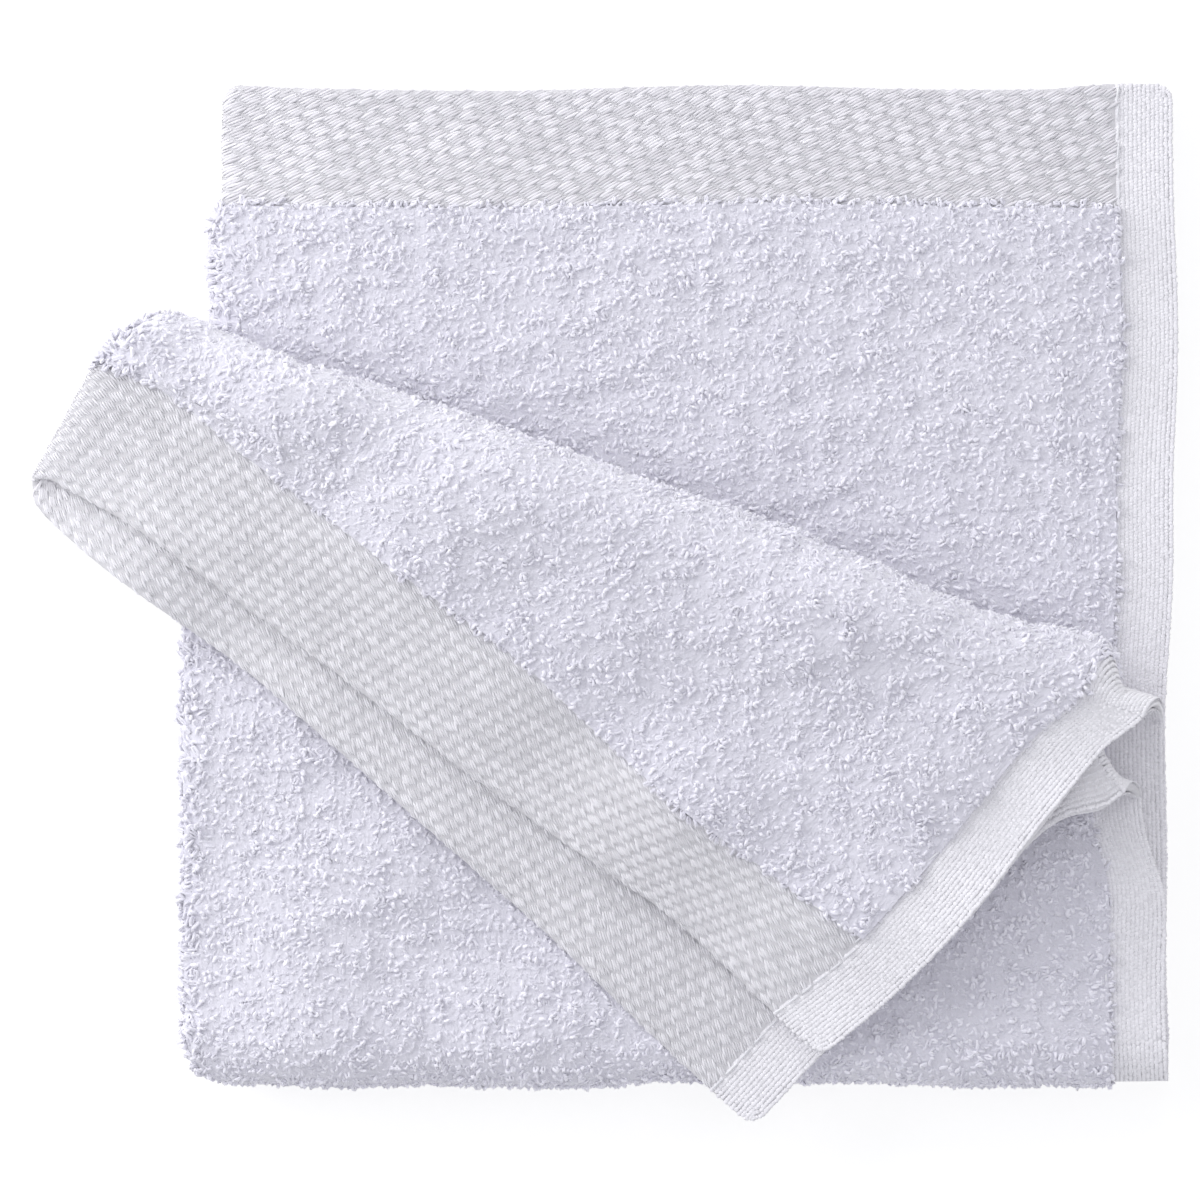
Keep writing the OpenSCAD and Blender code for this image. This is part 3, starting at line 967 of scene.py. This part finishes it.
def yarns_on(patch, p_mm, q_mm, angle, length, width, height, lift, seed, face=1, sides=5,
             press=0.6):
    """Short lengths of yarn lying on a patch, at places and headings in the cloth's plane."""
    rng = np.random.default_rng(seed)
    along = np.array([-1, -0.72, -0.3, 0.3, 0.72, 1])
    body = np.array([0.35, 0.8, 1, 1, 0.8, 0.35])
    count, rings = len(p_mm), len(along)
    reach = np.asarray(length)[..., None] / 2 * along
    reach = np.broadcast_to(reach, (count, rings))
    angle = np.broadcast_to(angle, (count,)) + rng.normal(0, 0.05, count)
    p = (p_mm[:, None] + np.cos(angle)[:, None] * reach) / patch.width
    q = (q_mm[:, None] + np.sin(angle)[:, None] * reach) / patch.length
    if patch.free_end is not None:
        q = np.minimum(q, 1) if patch.free_end else np.maximum(q, 0)
    middle, out, _, _ = patch.frame(p.ravel(), q.ravel())
    out = out * face
    arch = (1 - 0.75 * along**2)[None] * height
    lifts = (lift + arch * rng.uniform(0.7, 1.2, count)[:, None]).ravel()[:, None]
    if patch.free_end is not None:
        from_edge = np.abs(patch.free_end - q.ravel()) * patch.length / EDGE_RUN
        lifts = lifts * np.sqrt(np.maximum(1 - np.clip(1 - from_edge, 0, 1) ** 2, 0.1))[:, None]
    centres = (middle + out * lifts).reshape(count, rings, 3)
    out = out.reshape(count, rings, 3)
    tangent = unit(np.gradient(centres, axis=1))
    side_a = unit(np.cross(tangent, out))
    side_b = np.cross(side_a, tangent) * press
    thick = np.broadcast_to(width, (count,))[:, None] / 2 * body
    thick = thick * rng.uniform(0.85, 1.1, count)[:, None]
    points, faces = tubes(centres, side_a, side_b, thick, sides)
    points[:, 2] = np.maximum(points[:, 2], LOWEST)
    tones = np.repeat(rng.choice(3, count, p=YARN_TONES), (rings - 1) * sides)
    return points, faces, tones


def join(parts):
    """Several (points, faces, tones) as one."""
    start, points, faces, tones = 0, [], [], []
    for a, b, c in parts:
        points.append(a)
        faces.append(b + start)
        tones.append(c)
        start += len(a)
    return np.concatenate(points), np.concatenate(faces), np.concatenate(tones)


LIFT = 0.86  # height of the floats' and hem yarns' middle over the middle of the cloth
FLOAT_TILT = math.radians(27)
FLOAT_GROUP = 5


def floats(patch, seed, face=1, long=2.5, wide=0.5, rise=0.19, pitch=2.9, gap=0.42,
           fold=None, slant=1, upper=True):
    """The woven band's slanting floats, in staggered groups of rows.

    Returns those on the patch and, where it has a fold on its left, those on the fold.
    """
    tilt = FLOAT_TILT
    shift = gap / 2
    low = 0.0 if fold is None else -fold.width
    reach = math.hypot(patch.width - low, patch.length)
    rows = np.arange(-int(reach / gap) - 1, int(reach / gap) + 2)
    spots = []
    for row in rows:
        start = (-shift * row + (row // FLOAT_GROUP % 2) * pitch / 2) % pitch
        f = np.arange(-reach, reach, pitch) + start
        x = f * math.cos(tilt) - row * gap * math.sin(tilt)
        y = f * math.sin(tilt) + row * gap * math.cos(tilt)
        on_band = (x > low) & (x < patch.width) & (y > 0.1) & (y < patch.length - 0.1)
        spots.append(np.column_stack([x[on_band], y[on_band]]))
    x, y = np.concatenate(spots).T
    if slant < 0:
        x, tilt = patch.width + low - x, -tilt
    on = patch if fold is None else Joined(fold, patch, upper)
    return [
        yarns_on(on, x[some], y[some], tilt, long, wide, rise, LIFT, seed + k, face)
        for k, some in enumerate((x >= 0, x < 0)) if some.any()
    ]


CORD_GAP, PICK_GAP = 0.66, 0.5


def picks(patch, seed, face):
    """The side hem's weave: fine cords of short yarns that run along it."""
    nu, nv = int(patch.width / CORD_GAP), int(patch.length / PICK_GAP)
    i, j = grid(np.arange(nu), np.arange(nv))
    rng = np.random.default_rng(seed)
    x = (i + 0.5) * patch.width / nu + rng.normal(0, 0.04, i.size)
    y = (j + 0.5 + 0.5 * (i % 2)) * patch.length / (nv + 0.5) + rng.normal(0, 0.04, i.size)
    return yarns_on(patch, x, y, math.pi / 2, 0.6, 0.8, 0.05, LIFT, seed + 1, face, press=0.13)


# ---------------- the pieces

PIECES = {}
ON = {}  # the yarn pieces that lie on each sheet


def part(node):
    return node.split("_")[0]


def keep_piece(name, obj, region, slot, *nodes):
    place(obj, region)
    if nodes:
        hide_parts(*nodes)
    PIECES[name] = obj


def cloth(node, low, high, material, slot, free=(), step=2.0, **how):
    patch = PATCH.get(node) or PATCH[OF_PATCH[node]]
    points, faces, uv = slab(patch, low, high, step, free, **how)
    obj = mesh_object(node + "_cloth", points, faces, [material], uv=uv)
    keep_piece(node + "_cloth", obj, part(node), slot, node)


def yarn_piece(name, on, parts, materials, slot, *nodes):
    points, faces, tones = join(parts)
    obj = mesh_object(name, points, faces, materials, np.minimum(tones, len(materials) - 1))
    ON.setdefault(on, []).append(obj)
    keep_piece(name, obj, part(on), slot, *nodes)


TERRY = [n for n in PATCH if "band" not in n and "hem" not in n]
BANDS = ["back_under_band", "back_over_band", "flap_under_band", "flap_over_band"]
BAND_FOLDS = ["back_band_left_fold", "flap_band_left_fold"]
HEMS = [n for n in PATCH if "hem" in n]
OF_PATCH = {n.replace("band", "end_turning"): n for n in BANDS}

for node in TERRY:
    cloth(node, -BED, BED, SHADED_PILE_BED, "terry_cloth", relief=0.2)
FREE_END = {"back": "end", "flap": "start"}
for node in BANDS:
    side = FREE_END[part(node)]
    cloth(node, HALF_GAP, GROUND, BAND_CLOTH, "woven_band", (side,), 1.5, seat=0)
    turning = node.replace("band", "end_turning")
    cloth(turning, -GROUND, -HALF_GAP, BAND_CLOTH, "hem_cloth", (side,), 1.5, seat=0)
    PATCH[node].free_end = 1 if side == "end" else 0
for node in BAND_FOLDS:
    side = FREE_END[part(node)]
    plate = PATCH[node.replace("band_left_fold", "over_band")]
    rows = lines(plate.length, 1.5, side == "start", side == "end")
    cloth(node, -GROUND, GROUND, BAND_CLOTH, "woven_band", (side,), 0.6, rows=rows)
    PATCH[node].free_end = 1 if side == "end" else 0
for node in HEMS:
    free = ("right", FREE_END.get(part(node)))
    cloth(node, -GROUND, GROUND, HEM_CLOTH, "hem_cloth", free, 1.5)

# Pile loops. Faces that are hidden while the towel is folded get fewer, shorter loops.
FINE, COARSE, PLAIN = 0.71, 1.4, 1.8
SHORT, EDGE, MATTED = (0.55, 0.85), (1.0, 1.8), (0.45, 0.7)
IN_SIGHT_MARGIN = 8


def above_crease(points):
    x, y, _ = points.T
    return y > crease_y(x) - 6


def in_sight(points):
    """Parts of the front leaf that the flap does not cover."""
    x, y, _ = points.T
    u = x * SIN + y * COS - CREASE_OFFSET
    e = x * COS - y * SIN
    _, b, c, d = UNDER_CORNERS
    edge = b[1] + (e - b[0]) * (c[1] - b[1]) / (c[0] - b[0])
    side = c[0] + (u - c[1]) * (d[0] - c[0]) / (d[1] - c[1])
    return (u < edge + IN_SIGHT_MARGIN) | (e > side - IN_SIGHT_MARGIN)


def rest_of(region):
    return lambda points: ~region(points)


def pile(name, node, spacing, seed, **how):
    parts = [loops_on(PATCH[node], spacing, seed, **how)]
    yarn_piece(name, node, parts, PILE_TONES_AND_HIGHLIGHT, "terry_cloth")


# The pile runs slightly past its patch, or ends before it, to meet the next one evenly
for node, seed, count, region, low, high, right in (
    ("back_over_terry", 20, 6, above_crease, 0, 1.006, 1.004),
    ("front_over_terry", 30, 4, in_sight, 0, 1, 1.004),
    ("flap_over_terry", 40, 4, None, -0.01, 1, 0.998),
):
    for k in range(count):
        start, end = k / count * right, (k + 1) / count * right
        pile(f"{node[:-6]}_pile_{k + 1}", node, FINE, seed + k,
             region=region, window=(start, end, low, high))
for k in range(2):
    window = (k / 2 * 1.008, (k + 1) / 2 * 1.008, 0, 1)
    pile(f"crease_outer_pile_{k + 1}", "crease_outer_roll", FINE, 50 + k, window=window)
pile("back_over_lower_pile", "back_over_terry", COARSE, 60, tall=SHORT,
     region=rest_of(above_crease))
pile("front_over_covered_pile", "front_over_terry", COARSE, 61, region=rest_of(in_sight))
pile("front_under_pile", "front_under_terry", COARSE, 62, tall=SHORT)
pile("flap_under_pile", "flap_under_terry", COARSE, 63, tall=SHORT)
pile("crease_inner_pile", "crease_inner_roll", COARSE, 64, tall=SHORT)
pile("back_under_pile", "back_under_terry", PLAIN, 65, tall=MATTED, yarn=0.3)
pile("bottom_inner_pile", "bottom_inner_fold", COARSE, 66, tall=SHORT)
pile("bottom_outer_pile", "bottom_outer_fold", FINE, 67)
LEFT_EDGES = ("bottom_left_fold", "back_left_fold", "front_left_fold",
              "crease_left_roll", "flap_left_fold")
for k, node in enumerate(LEFT_EDGES):
    pile(node.rsplit("_", 1)[0] + "_pile", node, FINE, 68 + k, tall=EDGE)

# Woven floats of the bands, outside and on the turned side. The flap's twill is finer
# and slants the other way.
FOLD_OF = {"back_over_band": "back_band_left_fold", "flap_over_band": "flap_band_left_fold"}
WEAVE = {
    "back": {},
    "flap": {"slant": -1, "long": 1.8, "wide": 0.4, "rise": 0.16, "pitch": 2.2, "gap": 0.34},
}
for k, node in enumerate(BANDS):
    fold, how = FOLD_OF.get(node), WEAVE[part(node)]
    parts = floats(PATCH[node], 80 + k, fold=PATCH[fold] if fold else None, **how)
    if fold:
        yarn_piece(fold + "_floats", fold, [parts[1]], BAND_TONES, "woven_band")
    yarn_piece(node + "_floats", node, [parts[0]], BAND_TONES, "woven_band")
    turning = node.replace("band", "end_turning")
    if node == "flap_under_band":
        fold = "flap_band_left_fold"
        parts = floats(PATCH[node], 90 + k, -1, fold=PATCH[fold], upper=False, **how)
        yarn_piece(fold + "_inner_floats", fold, [parts[1]], BAND_TONES, "woven_band")
    else:
        parts = floats(PATCH[node], 90 + k, -1, **how)
    yarn_piece(turning + "_floats", turning, [parts[0]], BAND_TONES, "hem_cloth")

for k, node in enumerate(HEMS):
    yarn_piece(node + "_yarns", node, [
        picks(PATCH[node], 110 + 3 * k, 1), picks(PATCH[node], 160 + 3 * k, -1),
    ], HEM_TONES, "hem_cloth")


# Seams: a line of stitches on both faces of each hem and band
STITCH, STITCH_GAP = 2.2, 0.6
THREAD_WIDTH, THREAD_RISE = 0.34, 0.22
STITCH_SLANT = 0.06
SEAM_INSET, END_INSET = 0.35, 0.1


def seam(patch, seed, at, along_q, face, lift=1.0):
    total = patch.length if along_q else patch.width
    count = int(total / (STITCH + STITCH_GAP))
    spots = (np.arange(count) + 0.5) * total / count
    fixed = at(spots) if callable(at) else np.full(count, at)
    p, q = (fixed, spots) if along_q else (spots, fixed)
    angle = math.pi / 2 - STITCH_SLANT if along_q else STITCH_SLANT
    return yarns_on(patch, p, q, angle, STITCH, THREAD_WIDTH, THREAD_RISE, lift, seed, face, 6)


for k, (region, layer) in enumerate(product(("back", "front", "flap"), ("under", "over"))):
    # Beside the terry the stitches sink into the pile, beside a band they lie open
    node = f"{region}_{layer}_side_hem"
    hem = PATCH[node]
    open_from = {"back": hem.length - BAND_WIDTH, "front": 2 * hem.length, "flap": 0}[region]
    open_to = BAND_WIDTH if region == "flap" else hem.length

    def beside(q):
        return np.where((q > open_from) & (q < open_to), SEAM_INSET, -SEAM_INSET)

    parts = [seam(hem, 200 + k, beside, True, face) for face in (1, -1)]
    thread = node.replace("side_hem", "side_thread")
    yarn_piece(thread + "_stitches", node, parts, THREAD_TONES, "sewing_thread", thread)
for k, node in enumerate(BANDS):
    at = END_INSET if node.startswith("back") else PATCH[node].length - END_INSET
    parts = [seam(PATCH[node], 220 + k, at, False, face, lift=0.8) for face in (1, -1)]
    thread = node.replace("band", "end_thread")
    yarn_piece(thread + "_stitches", node, parts, THREAD_TONES, "sewing_thread", thread)


# ---------------- sheet sizes of the cloth pieces, worked out and not kept

SMALLEST_SIDE = 0.01  # metres
THICK_EDGES, EDGE_SHARE = 1.5, 1.3

for name, obj in PIECES.items():
    if not name.endswith("_cloth"):
        continue
    node = name[: -len("_cloth")]
    patch = PATCH.get(node) or PATCH[OF_PATCH[node]]
    line = (np.arange(30) + 0.5) / 30
    p, q = grid(line, line)
    _, _, along, up = patch.frame(p, q)
    area = float(np.linalg.norm(np.cross(along, up), axis=1).mean()) * MM * MM
    width = max(patch.width * MM, SMALLEST_SIDE)
    length = max(patch.length * MM, SMALLEST_SIDE)
    if area > width * length:
        length = area / width
    # A fold as short as it is thick has cut edges that are a good part of its surface
    surface = sum(f.area for f in obj.data.polygons) / 2
    if surface > THICK_EDGES * area:
        area = min(surface / EDGE_SHARE, width * length)

# ---------------- studio


def area_light(name, where, size, power):
    light = bpy.data.lights.new(name, "AREA")
    light.shape = "SQUARE"
    light.size = size
    light.energy = power
    obj = bpy.data.objects.new(name, light)
    obj.location = where
    obj.rotation_mode = "QUATERNION"
    obj.rotation_quaternion = (-Vector(where)).to_track_quat("-Z", "Y")
    bpy.context.scene.collection.objects.link(obj)


floor_mesh = bpy.data.meshes.new("floor")
floor_mesh.from_pydata([(-3, -3, 0), (3, -3, 0), (3, 3, 0), (-3, 3, 0)], [], [(0, 1, 2, 3)])
floor = bpy.data.objects.new("floor", floor_mesh)
floor.location.z = -0.05 * MM
floor_material, floor_shader = principled("pale studio floor", (0.45, 0.45, 0.45), 0.7, 0)
floor_shader.inputs["Emission Color"].default_value = (1, 1, 1, 1)
floor_shader.inputs["Emission Strength"].default_value = 0.7
floor_mesh.materials.append(floor_material)
bpy.context.scene.collection.objects.link(floor)

world = bpy.data.worlds.new("studio")
world.use_nodes = True
background = world.node_tree.nodes["Background"]
background.inputs["Color"].default_value = (0.94, 0.95, 1.0, 1)
background.inputs["Strength"].default_value = 0.64
bpy.context.scene.world = world
area_light("left", (-0.50, 0.22, 0.25), 0.45, 2.5)
area_light("top", (-0.05, 0.80, 0.42), 0.8, 1.9)
area_light("fill", (0.25, 0.1, 1.3), 1.2, 2.2)
bpy.context.scene.view_settings.view_transform = "Standard"

camera = bpy.data.cameras.new("camera")
camera.lens = 180
camera.clip_start, camera.clip_end = 0.01, 10
camera_object = bpy.data.objects.new("camera", camera)
camera_object.location = (0, 0, 0.91)
bpy.context.scene.collection.objects.link(camera_object)
bpy.context.scene.camera = camera_object

bpy.context.view_layer.update()
